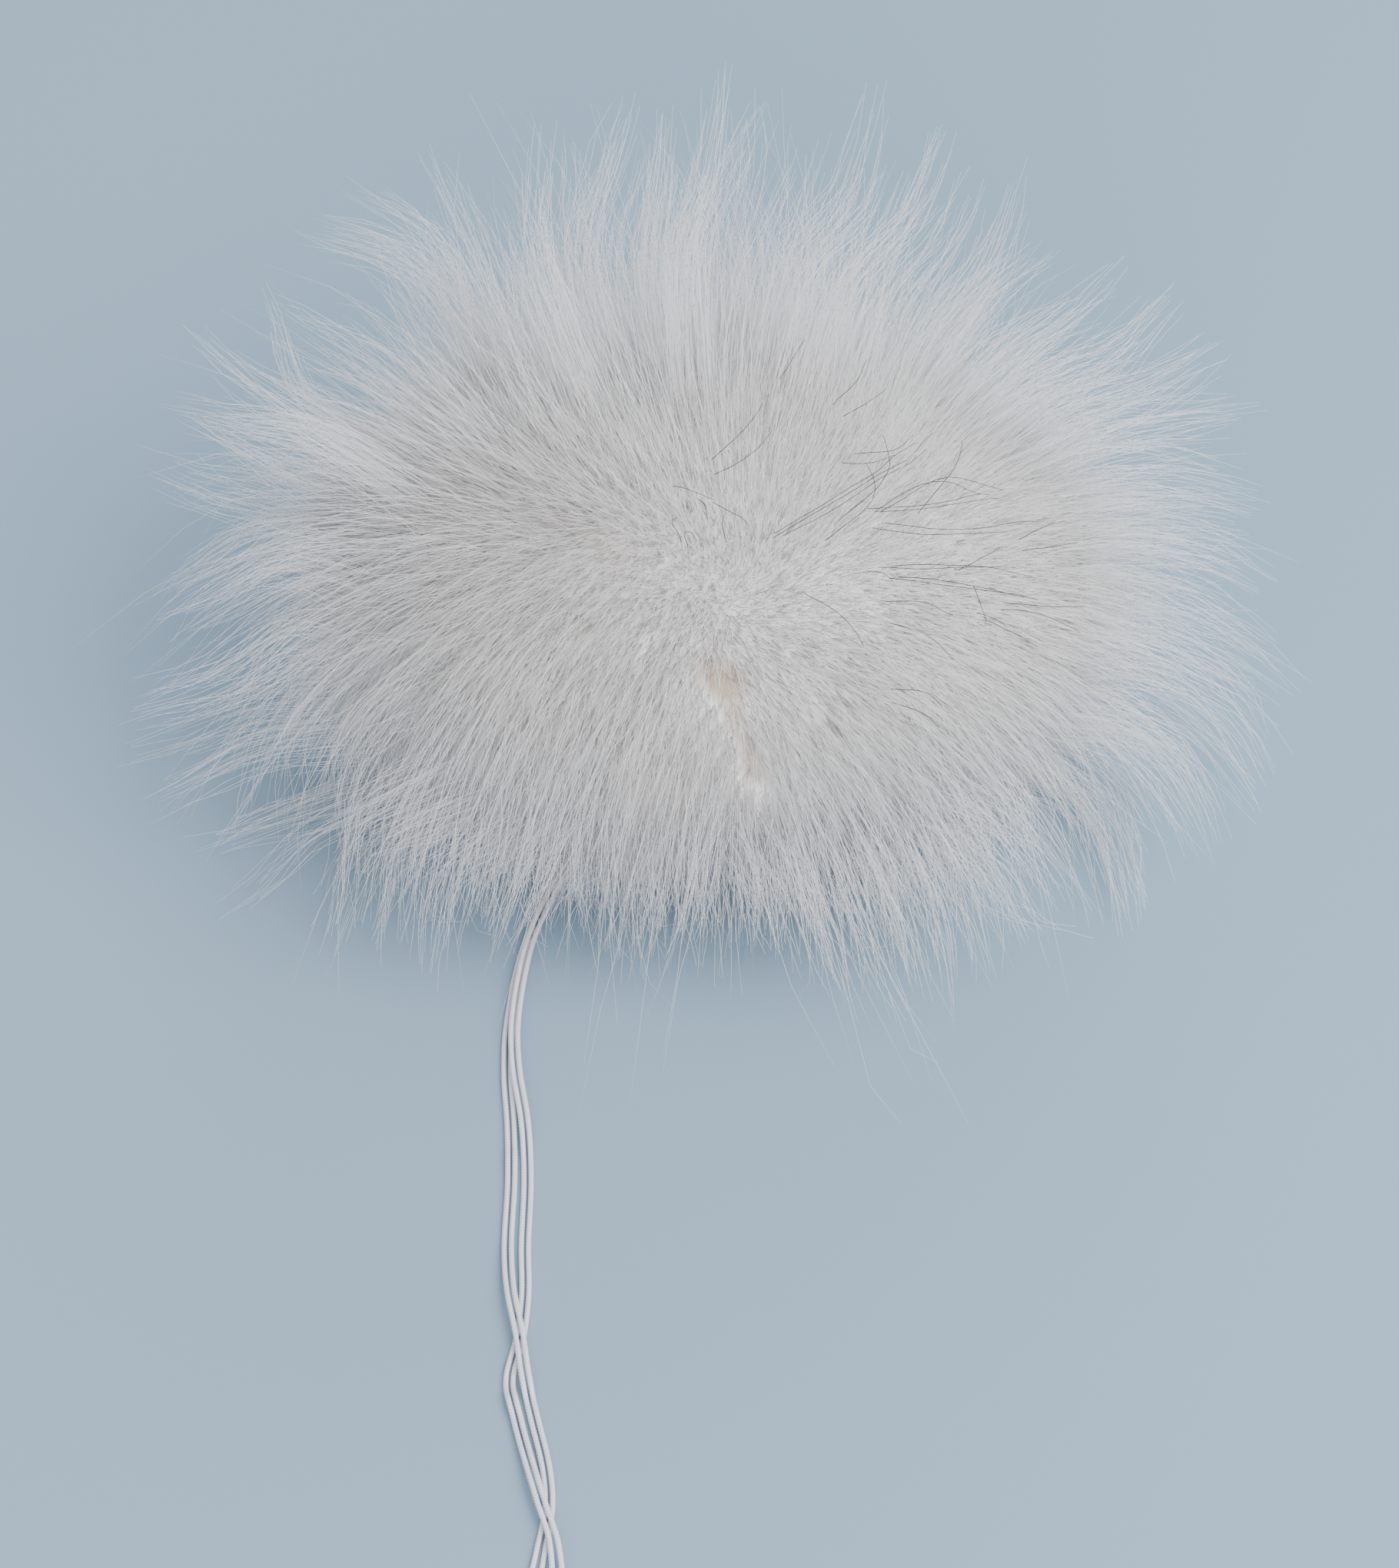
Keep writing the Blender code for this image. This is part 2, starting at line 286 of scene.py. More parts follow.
# The fringe under the front, in the same way
FRINGE_WISPS = table(
    ("from", "over", "to", "hairs", "wide"),
    ((500, 1062), (486, 1130), (462, 1212), 56, 8.0),
    ((548, 1078), (530, 1150), (512, 1232), 60, 8.0),
    ((592, 1088), (574, 1160), (560, 1262), 56, 8.0),
    ((640, 1092), (622, 1160), (604, 1228), 64, 8.0),
    ((690, 1096), (672, 1158), (650, 1218), 64, 8.0),
    ((742, 1098), (722, 1150), (702, 1206), 50, 7.0),
    ((800, 1098), (792, 1150), (778, 1200), 40, 8.0),
    ((826, 1098), (824, 1168), (818, 1256), 56, 7.0),
    ((880, 1098), (880, 1158), (872, 1216), 50, 8.0),
    ((926, 1098), (932, 1160), (930, 1222), 50, 8.0),
    ((970, 1096), (980, 1160), (982, 1236), 56, 8.0),
    ((1012, 1094), (1028, 1160), (1044, 1250), 60, 8.0),
    ((1050, 1092), (1082, 1170), (1112, 1300), 56, 9.0),
    ((1090, 1090), (1124, 1160), (1150, 1262), 60, 9.0),
    ((1130, 1086), (1170, 1166), (1206, 1310), 56, 10.0),
    ((1174, 1078), (1216, 1144), (1246, 1248), 60, 9.0),
    ((1220, 1070), (1262, 1134), (1290, 1254), 56, 9.0),
    ((1262, 1060), (1308, 1120), (1352, 1214), 50, 9.0),
    ((1280, 1100), (1330, 1186), (1414, 1206), 14, 8.0),
    ((1300, 1046), (1350, 1102), (1398, 1180), 46, 8.0),
)

# How much nearer to the camera than the middle of the pile they lie, from least to most
RIM_DEPTH = (-0.030, 0.026)
FRINGE_DEPTH = (0.028, 0.046)
WISP_LOWEST = 0.004
RIM_HAIR = {
    "Points": 7, "Seed": 31, "Shortest": 0.42, "Tip Spread": 0.55, "Frizz": 0.0080,
    "Root Width": 0.00010, "Tip Width": 0.00006,
}

# Loose hairs that curl over the body, in the same way, and how proud of the pile they lie. Their
# grey is painted shade, for white hairs that stand in shadow.
LOOSE_HAIRS = table(
    ("from", "over", "to", "hairs", "wide"),
    ((1012, 695), (1144, 617), (1240, 545), 3, 2.5),
    ((1075, 692), (1138, 629), (1114, 554), 2, 1.5),
    ((1138, 674), (1215, 640), (1294, 668), 2, 1.5),
    ((1132, 674), (1222, 676), (1336, 659), 4, 2.0),
    ((1102, 596), (1150, 592), (1180, 572), 2, 1.5),
    ((1192, 674), (1240, 620), (1249, 572), 1, 1.0),
    ((1114, 752), (1156, 756), (1194, 784), 1, 1.0),
    ((1150, 746), (1252, 752), (1336, 766), 4, 3.0),
    ((1240, 740), (1262, 722), (1285, 708), 1, 1.0),
    ((1270, 754), (1284, 776), (1288, 802), 1, 1.0),
    ((1144, 794), (1204, 802), (1252, 836), 2, 2.0),
    ((1288, 800), (1324, 812), (1372, 835), 4, 2.5),
    ((1054, 776), (1104, 810), (1138, 862), 1, 1.0),
    ((1156, 908), (1198, 920), (1222, 946), 2, 2.0),
    ((1336, 716), (1372, 712), (1408, 706), 2, 1.5),
    ((871, 630), (905, 630), (934, 642), 1, 1.0),
    ((898, 694), (902, 660), (926, 652), 2, 2.0),
    ((912, 650), (930, 668), (934, 690), 2, 2.0),
    ((949, 695), (950, 672), (962, 652), 1, 1.0),
    ((932, 606), (972, 576), (1007, 536), 2, 1.5),
    ((1090, 532), (1118, 508), (1150, 478), 2, 1.5),
    ((1010, 500), (1024, 476), (1036, 446), 1, 1.0),
)
LOOSE_PROUD = {"from": 0.0130, "over": 0.0185, "to": 0.0170}
LOOSE_HAIR = {
    "Points": 12, "Seed": 41, "Shortest": 0.70, "Tip Spread": 2.4, "Frizz": 0.0070,
    "Root Width": 0.00015, "Tip Width": 0.00011,
}
GUIDE_POINTS = 9

# Finishes, as linear colours, and the share of light that goes through a hair
HAIR_THROUGH = 0.6
HAIR_WHITE = (0.97, 0.97, 0.98, 1.0)
HAIR_DULL = (0.955, 0.95, 0.965, 1.0)
UNDER_WHITE = (0.97, 0.96, 0.97, 1.0)
UNDER_DULL = (0.955, 0.94, 0.95, 1.0)
HAIR_CREAM = (0.20, 0.13, 0.09, 1.0)
PILE_CREAM = (0.42, 0.33, 0.25, 1.0)
# Painted shade: the loose hairs are white, coloured grey, from darker to paler, where they stand
# in shadow
LOOSE_PAINTED_SHADE_DARK = (0.07, 0.06, 0.055, 1.0)
LOOSE_PAINTED_SHADE_PALE = (0.16, 0.15, 0.14, 1.0)
PILE_WHITE = (0.97, 0.96, 0.97, 1.0)
PILE_DULL = (0.92, 0.90, 0.91, 1.0)
SUEDE = (0.74, 0.66, 0.56, 1.0)
# The darker suede: painted shade in the hollows of the pleats, and the low end of the nap's own
# tone
SUEDE_NAP_AND_PLEAT_SHADE = (0.52, 0.43, 0.34, 1.0)
TIE_WHITE = (0.86, 0.86, 0.91, 1.0)
TIE_SHADE = (0.60, 0.59, 0.68, 1.0)

# Fine relief: the scale and detail of its noise, and how strongly and how far that is raised
PILE_GRAIN = {"scale": 900.0, "detail": 3.0, "strength": 0.6, "distance": 0.0006}
SUEDE_NAP = {"scale": 1400.0, "detail": 4.0, "strength": 0.5, "distance": 0.0003}
TIE_THREADS = {"scale": 5200.0, "detail": 2.0, "strength": 0.4, "distance": 0.0001}

# Studio
FLOOR_SIZE = 16.0
FLOOR_COLOUR = (0.23, 0.34, 0.45, 1.0)
LIGHTS = table(
    ("name", "place", "size", "watts", "colour"),
    ("key", (0.80, -0.60, 1.10), 1.2, 33.0, (1.0, 0.98, 0.96)),
    ("fill", (-0.12, -2.54, 0.88), 1.4, 58.0, (1.0, 0.96, 0.96)),
    ("behind", (0.40, 1.90, 0.62), 1.1, 28.0, (0.72, 0.86, 1.00)),
)
WORLD_COLOUR = (1.0, 0.99, 1.0, 1.0)
WORLD_STRENGTH = 0.78


class Wire:
    """A node's output. Sums and products of wires and numbers add Math or Vector Math nodes."""

    def __init__(self, net, socket):
        self.net = net
        self.socket = socket

    def output(self, name):
        """Another output of the same node."""
        return Wire(self.net, self.socket.node.outputs[name])

    def is_vector(self):
        return self.socket.type == "VECTOR"

    def worked(self, operation, first, second):
        """Math on two values, or Vector Math where either is a vector."""
        vectors = [isinstance(v, tuple) or (isinstance(v, Wire) and v.is_vector())
                   for v in (first, second)]
        if not any(vectors):
            return self.net.add("ShaderNodeMath", {"operation": operation}, {0: first, 1: second})
        if operation == "MULTIPLY" and not all(vectors):
            vector, scale = (first, second) if vectors[0] else (second, first)
            return self.net.add("ShaderNodeVectorMath", {"operation": "SCALE"},
                                {"Vector": vector, "Scale": scale})
        return self.net.add("ShaderNodeVectorMath", {"operation": operation},
                            {0: first, 1: second})

    def __add__(self, other):
        return self.worked("ADD", self, other)

    __radd__ = __add__

    def __sub__(self, other):
        return self.worked("SUBTRACT", self, other)

    def __rsub__(self, other):
        return self.worked("SUBTRACT", other, self)

    def __mul__(self, other):
        return self.worked("MULTIPLY", self, other)

    __rmul__ = __mul__

    def __pow__(self, other):
        return self.worked("POWER", self, other)


class Net:
    """A node tree under construction."""

    def __init__(self, tree):
        self.tree = tree

    def add(self, kind, settings=None, values=None, output=0):
        """A node of a kind: its settings first, then the values or wires of its inputs."""
        node = self.tree.nodes.new(kind)
        for name, value in (settings or {}).items():
            setattr(node, name, value)
        for key, value in (values or {}).items():
            socket = self.open_input(node, key)
            if isinstance(value, Wire):
                self.tree.links.new(value.socket, socket)
            else:
                socket.default_value = value
        return Wire(self, self.open_output(node, output))

    @staticmethod
    def open_input(node, key):
        """An input by number, or the enabled input of that name."""
        if isinstance(key, int):
            return node.inputs[key]
        return next(s for s in node.inputs if s.name == key and s.enabled)

    @staticmethod
    def open_output(node, key):
        """An output by name, or that number among the enabled outputs."""
        if isinstance(key, str):
            return next(s for s in node.outputs if s.name == key and s.enabled)
        return [s for s in node.outputs if s.enabled][key]

    def between(self, first, second, share, kind="FLOAT"):
        """A mix of two values, vectors or colours."""
        return self.add("ShaderNodeMix", {"data_type": kind},
                        {"Factor": share, "A": first, "B": second})

    def heading(self, vector):
        """A vector scaled to length 1."""
        return self.add("ShaderNodeVectorMath", {"operation": "NORMALIZE"}, {0: vector})

    def length(self, vector):
        return self.add("ShaderNodeVectorMath", {"operation": "LENGTH"}, {0: vector}, "Value")


class GrowthNet(Net):
    """A Geometry Nodes tree, with a named input for each of a hair's settings."""

    KINDS = {float: "NodeSocketFloat", int: "NodeSocketInt"}

    def __init__(self, name, settings):
        super().__init__(bpy.data.node_groups.new(name, "GeometryNodeTree"))
        face = self.tree.interface
        face.new_socket("Geometry", in_out="OUTPUT", socket_type="NodeSocketGeometry")
        inputs = {"Geometry": "NodeSocketGeometry"}
        for label, value in settings.items():
            if type(value) in self.KINDS:
                inputs[label] = self.KINDS[type(value)]
        inputs["Lines"] = "NodeSocketObject"
        inputs["Material"] = "NodeSocketMaterial"
        for label, kind in inputs.items():
            face.new_socket(label, in_out="INPUT", socket_type=kind)
        self.entry = self.tree.nodes.new("NodeGroupInput")
        self.end = self.tree.nodes.new("NodeGroupOutput")

    def given(self, label):
        """One of the tree's named inputs."""
        return Wire(self, self.entry.outputs[label])

    def attribute(self, name, kind="FLOAT_VECTOR"):
        """A named attribute of the geometry in hand."""
        return self.add("GeometryNodeInputNamedAttribute", {"data_type": kind}, {"Name": name})

    def number(self, name):
        """A named attribute that is a single number."""
        return self.attribute(name, "FLOAT")

    def store(self, geometry, name, value, kind="FLOAT_VECTOR", domain="POINT"):
        """The geometry with a named attribute on its points, or on its curves."""
        return self.add("GeometryNodeStoreNamedAttribute", {"data_type": kind, "domain": domain},
                        {"Geometry": geometry, "Name": name, "Value": value})

    def chance(self, low, high, seed, kind="FLOAT"):
        """A random value for each point."""
        return self.add("FunctionNodeRandomValue", {"data_type": kind},
                        {"Min": low, "Max": high, "Seed": seed})

    def any_way(self, size, seed):
        """A random step of up to the given size along each axis, for each point."""
        return self.chance((-size,) * 3, (size,) * 3, seed, "FLOAT_VECTOR")

    def scattered(self, pelt, density, growth, seed):
        """Points strewn over the pelt, by how well it grows that hair."""
        return self.add("GeometryNodeDistributePointsOnFaces", {"distribute_method": "RANDOM"},
                        {"Mesh": pelt, "Density": density * self.number(growth),
                         "Seed": seed})

    def spaced(self, pelt, apart, seed):
        """Points on the pelt that keep their distance."""
        return self.add("GeometryNodeDistributePointsOnFaces", {"distribute_method": "POISSON"},
                        {"Mesh": pelt, "Distance Min": apart, "Density Max": MOST_WISPS,
                         "Density Factor": self.number("rooted"), "Seed": seed})

    def nearest_on(self, points, value, kind="FLOAT_VECTOR"):
        """A value of the nearest of some points."""
        nearest = self.add("GeometryNodeSampleNearest", {"domain": "POINT"}, {"Geometry": points})
        return self.add("GeometryNodeSampleIndex", {"data_type": kind, "domain": "POINT"},
                        {"Geometry": points, "Value": value, "Index": nearest})

    def frizzed(self, place, size):
        """A place moved by a noise that differs from hair to hair."""
        frizz = self.add("ShaderNodeTexNoise", {"noise_dimensions": "4D"},
                         {"Vector": place, "W": self.number("tone") * FRIZZ_VARIETY,
                          "Scale": FRIZZ_SCALE, "Detail": 1.0}, "Color")
        frizz = self.add("ShaderNodeVectorMath", {"operation": "SUBTRACT"},
                         {0: frizz, 1: NOISE_MIDDLE})
        return place + frizz * size

    def above_surface(self, place):
        """A place raised so that nothing goes below the surface, or through the ties."""
        lines = self.add("GeometryNodeObjectInfo", None, {"Object": self.given("Lines")},
                         "Geometry")
        near = self.add("GeometryNodeProximity", {"target_element": "EDGES"},
                        {"Geometry": lines, "Sample Position": place * (1.0, 1.0, 0.0)},
                        "Distance")
        rest = self.add("ShaderNodeMapRange", {"interpolation_type": "SMOOTHSTEP"},
                        {"Value": near, "From Min": TIE_NEAR, "From Max": TIE_FAR,
                         "To Min": OVER_TIES, "To Max": SURFACE_REST})
        split = self.add("ShaderNodeSeparateXYZ", None, {0: place})
        high = self.add("ShaderNodeMath", {"operation": "SMOOTH_MAX"},
                        {0: split.output("Z"), 1: rest, 2: REST_BLEND})
        return self.add("ShaderNodeCombineXYZ", None,
                        {"X": split, "Y": split.output("Y"), "Z": high})

    def moved(self, geometry, place):
        return self.add("GeometryNodeSetPosition", None, {"Geometry": geometry, "Position": place})

    def strands(self, curves):
        """Closed three-sided strands along curves, tapered to their tips."""
        along = self.number("along")
        width = self.between(self.given("Root Width"), self.given("Tip Width"), along * along)
        ring = self.add("GeometryNodeCurvePrimitiveCircle", None, {"Resolution": 3, "Radius": 0.5})
        return self.add("GeometryNodeCurveToMesh", None,
                        {"Curve": curves, "Profile Curve": ring, "Scale": width,
                         "Fill Caps": True})

    def close(self, geometry):
        """Ends the tree in a plain, smooth mesh of the given material."""
        geometry = self.add("GeometryNodeSetShadeSmooth", None, {"Geometry": geometry})
        geometry = self.add("GeometryNodeRealizeInstances", None, {"Geometry": geometry})
        geometry = self.add("GeometryNodeSetMaterial", None,
                            {"Geometry": geometry, "Material": self.given("Material")})
        self.tree.links.new(geometry.socket, self.end.inputs[0])
        return self.tree


def unit(rows):
    """Rows of vectors, each scaled to length 1."""
    return rows / np.linalg.norm(rows, axis=-1, keepdims=True)


def steps(value, low, high):
    """A soft step from 0 at low to 1 at high."""
    share = np.clip((value - low) / (high - low), 0.0, 1.0)
    return share * share * (3 - 2 * share)


def new_object(name, data):
    """An object at the origin, in the scene."""
    made = bpy.data.objects.new(name, data)
    bpy.context.scene.collection.objects.link(made)
    return made


# Camera

BACK_TO_CAMERA = np.array((0.0, -math.cos(CAMERA_ELEVATION), math.sin(CAMERA_ELEVATION)))
PICTURE_RIGHT = np.array((1.0, 0.0, 0.0))
PICTURE_UP = np.cross(BACK_TO_CAMERA, PICTURE_RIGHT)
EYE = CAMERA_TARGET + BACK_TO_CAMERA * CAMERA_DISTANCE


def add_camera():
    data = bpy.data.cameras.new("camera")
    data.sensor_fit = "VERTICAL"
    data.sensor_height = SENSOR
    data.sensor_width = SENSOR
    data.lens = SENSOR * PIXELS_PER_METRE * CAMERA_DISTANCE / PHOTO_HEIGHT
    camera = new_object("camera", data)
    camera.location = EYE
    camera.rotation_euler = Vector(BACK_TO_CAMERA).to_track_quat("Z", "Y").to_euler()
    bpy.context.scene.camera = camera


def sight_line(pixel):
    """The way from the camera through a photo pixel, 1 deep."""
    per_metre = PIXELS_PER_METRE * CAMERA_DISTANCE
    return (
        PICTURE_RIGHT * (pixel[0] - PHOTO_WIDTH / 2) / per_metre
        + PICTURE_UP * (PHOTO_HEIGHT / 2 - pixel[1]) / per_metre
        - BACK_TO_CAMERA
    )


def in_view_plane(pixel, depth_point):
    """A photo pixel's place in the plane through a point that faces the camera."""
    return EYE + sight_line(pixel) * np.dot(EYE - depth_point, BACK_TO_CAMERA)


# Ties

def tie_stations():
    """The route's rows in metres, with the straight start at the back's facet put first."""
    facet = BACK_RADIUS * math.cos(math.pi / BACK_SIDES) + GAP
    rows = []
    for out in (facet, facet + STRAIGHT_OUT):
        x, y = out * math.cos(EXIT_ANGLE), out * math.sin(EXIT_ANGLE)
        rows.append((x, y, 0.0, 0.0, STRAND_PITCH, 1.0))
    for row in TIE_ROUTE:
        sizes = [row[key] / 1000 for key in ("x", "y", "a", "b", "spread")]
        rows.append((*sizes, 1.0 if row["top"] == "b" else 0.0))
    return np.array(rows)


def smooth_through(rows, count, axes=2):
    """Evenly spaced points on a Catmull-Rom curve through the rows, spaced by their first axes."""
    padded = np.vstack((2 * rows[0] - rows[1], rows, 2 * rows[-1] - rows[-2]))
    fine = []
    for p0, p1, p2, p3 in zip(padded, padded[1:], padded[2:], padded[3:]):
        for t in np.linspace(0, 1, STEPS_PER_ROW, endpoint=False):
            fine.append(0.5 * (
                2 * p1
                + (p2 - p0) * t
                + (2 * p0 - 5 * p1 + 4 * p2 - p3) * t ** 2
                + (3 * p1 - p0 - 3 * p2 + p3) * t ** 3
            ))
    fine = np.array(fine + [rows[-1]])
    stretch = np.linalg.norm(np.diff(fine[:, :axes], axis=0), axis=1)
    travel = np.concatenate(([0], np.cumsum(stretch)))
    even = np.linspace(0, travel[-1], count)
    return np.column_stack([np.interp(even, travel, column) for column in fine.T])


def eased(lift):
    """A lift that is nowhere lower than the one given, with gentle slopes."""
    reach = EASE_POINTS
    wide = np.pad(lift, 2 * reach, mode="edge")
    raised = np.array([wide[i:i + 2 * reach + 1].max() for i in range(len(wide) - 2 * reach)])
    kernel = np.ones(2 * reach + 1) / (2 * reach + 1)
    return np.convolve(raised, kernel, mode="valid")


def tie_paths():
    """The middle line of each of the four strands, resting on the surface or on one another."""
    x, y, a, b, spread, top_is_b = smooth_through(tie_stations(), TIE_POINTS).T
    heading = np.gradient(np.column_stack((x, y)), axis=0)
    heading /= np.linalg.norm(heading, axis=1)[:, None]
    right = np.column_stack((-heading[:, 1], heading[:, 0]))
    sideways = {
        "tie_1": a - spread / 2,
        "tie_2": a + spread / 2,
        "tie_3": b - spread / 2,
        "tie_4": b + spread / 2,
    }
    lift = np.zeros(len(x))
    for under in ("tie_1", "tie_2"):
        for over in ("tie_3", "tie_4"):
            apart = np.abs(sideways[over] - sideways[under])
            need = np.sqrt(np.maximum(STRAND_PITCH ** 2 - apart ** 2, 0))
            lift = np.maximum(lift, need)
    lift = eased(lift)
    b_on_top = top_is_b > 0.5
    paths = {}
    for name, offset in sideways.items():
        raised = b_on_top if name in ("tie_3", "tie_4") else ~b_on_top
        height = TIE_DIAMETER / 2 + lift * raised
        points = np.column_stack((
            x + right[:, 0] * offset,
            y + right[:, 1] * offset,
            height,
        ))
        paths[name] = points[:len(points) - CUT_SHORT[name]]
    return paths


def length_of(points):
    return float(np.linalg.norm(np.diff(points, axis=0), axis=1).sum())


def new_mesh_object(name, verts, faces, material):
    """A mesh object at the origin, its faces turned outwards and shaded smooth."""
    mesh = bpy.data.meshes.new(name)
    mesh.from_pydata([tuple(v) for v in verts], [], faces)
    bm = bmesh.new()
    bm.from_mesh(mesh)
    bmesh.ops.recalc_face_normals(bm, faces=bm.faces)
    bm.to_mesh(mesh)
    bm.free()
    mesh.shade_smooth()
    mesh.materials.append(material)
    return new_object(name, mesh)


def add_attribute(mesh, name, values):
    """Stores a number or a vector on each of a mesh's points."""
    values = np.asarray(values, np.float32)
    kind, field = ("FLOAT_VECTOR", "vector") if values.ndim == 2 else ("FLOAT", "value")
    mesh.attributes.new(name, kind, "POINT").data.foreach_set(field, values.ravel())


def keep_attributes(mesh, kept):
    """Removes the attributes that only the growing needed."""
    own = [a.name for a in mesh.attributes if not a.is_internal and not a.is_required]
    for name in own:
        if name not in kept:
            mesh.attributes.remove(mesh.attributes[name])


def ring_faces(rings, sides):
    """Faces between rings of points, and an end face on the first and the last."""
    faces = []
    for i in range(rings - 1):
        for k in range(sides):
            a = i * sides + k
            b = i * sides + (k + 1) % sides
            faces.append((a, b, b + sides, a + sides))
    faces.append(tuple(range(sides)))
    faces.append(tuple(range((rings - 1) * sides, rings * sides)))
    return faces


def twisted_tie(name, points, material):
    """A cord of plies laid round one another: a ring of soft lobes that turns along the path."""
    sides = PLIES * SIDES_PER_PLY
    count = round(length_of(points) * sides / PLY_LAY) + 1
    line = smooth_through(points, count, 3)
    ahead = unit(np.gradient(line, axis=0))
    right = unit(np.column_stack((-ahead[:, 1], ahead[:, 0], np.zeros(count))))
    up = np.cross(right, ahead)
    up *= np.sign(up[:, 2:3])
    verts = []
    crest = []
    for i in range(count):
        for k in range(sides):
            angle = 2 * math.pi * (k - i) / sides
            lobe = math.cos(2 * math.pi * k / SIDES_PER_PLY)
            radius = TIE_DIAMETER / 2 * (1 - PLY_DEPTH * (1 - lobe) / 2)
            place = line[i] + radius * (math.cos(angle) * right[i] + math.sin(angle) * up[i])
            place[2] = max(place[2], 0.0)
            verts.append(place)
            crest.append(lobe)
    tie = new_mesh_object(name + "_cord", verts, ring_faces(count, sides), material)
    add_attribute(tie.data, "crest", crest)
    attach(tie, "root")
    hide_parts(name)


def add_ties():
    """All four ties. Returns a flat drawing of their lines, which the hair rises over."""
    material = tie_finish()
    verts, edges = [], []
    for name, points in tie_paths().items():
        twisted_tie(name, points, material)
        edges += [(len(verts) + i, len(verts) + i + 1) for i in range(len(points) - 1)]
        verts += [(x, y, 0.0) for x, y, z in points]
    return drawing("tie_lines", verts, edges)


def drawing(name, verts, edges):
    """An object of lines alone, which guides hair and is removed afterwards."""
    mesh = bpy.data.meshes.new(name)
    mesh.from_pydata(verts, edges, [])
    return new_object(name, mesh)


# Pile and the flow of the hair

def pile_sizes(points):
    """The pile's half sizes on the side of each point."""
    deep = np.where(points[:, 1] > 0, PILE_BACK, PILE_FRONT)
    high = np.where(points[:, 2] > PILE_WAIST, PILE_TOP - PILE_WAIST, PILE_WAIST - PILE_UNDERSIDE)
    return np.column_stack((np.full(len(points), PILE_SIDE), deep, high))


def off_pile(points, proud=0.0):
    """Below 1 inside the pile, or inside one that stands proud of it."""
    from_waist = points - (0.0, 0.0, PILE_WAIST)
    return ((from_waist / (pile_sizes(points) + proud)) ** 2).sum(axis=1)


def pile_normals(points):
    from_waist = points - (0.0, 0.0, PILE_WAIST)
    return unit(from_waist / pile_sizes(points) ** 2)


def root_towards(place):
    """Where the line from the hair centre to a place leaves the pile."""
    shares = np.linspace(0, 1, ROOT_STEPS)[:, None]
    line = HAIR_CENTRE + (place - HAIR_CENTRE) * shares
    inside = off_pile(line) < 1
    return line[np.flatnonzero(inside)[-1]]


def at_pixel(pixel, proud=0.0):
    """The place on the pile, or so far proud of it, that shows at a photo pixel."""
    depths = np.linspace(SIGHT_NEAR, SIGHT_FAR, SIGHT_STEPS)[:, None] * CAMERA_DISTANCE
    line = EYE + sight_line(pixel) * depths
    inside = off_pile(line, proud) < 1
    return line[np.flatnonzero(inside)[0]]


def tip_shell(rays):
    """Where rays from the hair centre meet the shell of tips, by halving."""
    near = np.zeros(len(rays))
    far = np.full(len(rays), REACH_SIDE + REACH_BACK)
    for _ in range(HALVINGS):
        middle = (near + far) / 2
        point = HAIR_CENTRE + rays * middle[:, None]
        deep = np.where(point[:, 1] > 0, REACH_BACK, REACH_FRONT)
        high = np.where(point[:, 2] > TIP_WAIST, TIP_TOP - TIP_WAIST, SHELL_DEPTH)
        inside = (
            (point[:, 0] / REACH_SIDE) ** 2
            + (point[:, 1] / deep) ** 2
            + ((point[:, 2] - TIP_WAIST) / high) ** 2
        ) < 1.0
        near = np.where(inside, middle, near)
        far = np.where(inside, far, middle)
    return HAIR_CENTRE + rays * near[:, None]


def nearest_on_line(points, start, end):
    """For each point, the nearest point of a straight line between two."""
    line = end - start
    share = np.clip(((points - start) @ line) / (line @ line), 0, 1)
    return start + share[:, None] * line


def away_from_parting(rays):
    """For each ray: its angle to the nearest point of the parting, and the way that leads off."""
    start = unit(at_pixel(WHORL_PIXEL) - HAIR_CENTRE)
    end = unit(at_pixel(PARTING_PIXEL) - HAIR_CENTRE)
    nearest = unit(nearest_on_line(rays, start, end))
    cosine = np.clip((rays * nearest).sum(axis=1), -1, 1)
    angle = np.arccos(cosine)
    away = rays * cosine[:, None] - nearest
    return angle, away / np.maximum(np.sin(angle), LEAST_SINE)[:, None]


def noise_at(points, scale, seed):
    """A smooth vector noise from a few crossing waves."""
    draw = np.random.default_rng(seed)
    total = np.zeros_like(points)
    for octave in range(OCTAVES):
        waves = draw.normal(size=(3, 3)) * scale * (1 + OCTAVE_STEP * octave)
        phase = draw.uniform(0, 2 * math.pi, 3)
        total += np.sin(points @ waves + phase)
    return total / OCTAVES


def hanging(points):
    """How far the hair hangs at each root, from 0 at the top to the most below the whorl."""
    off = points - CAMERA_TARGET
    rightwards = steps(off @ PICTURE_RIGHT, RIGHT_FROM, RIGHT_TO)
    lowest = HANG_LEFT + (HANG_RIGHT - HANG_LEFT) * rightwards
    return HANG * (1 - steps(off @ PICTURE_UP, lowest, HANG_FROM))


def facing_away(points, low, high):
    """How far the pile faces away from the camera, as a soft step."""
    return steps(pile_normals(points) @ -BACK_TO_CAMERA, low, high)


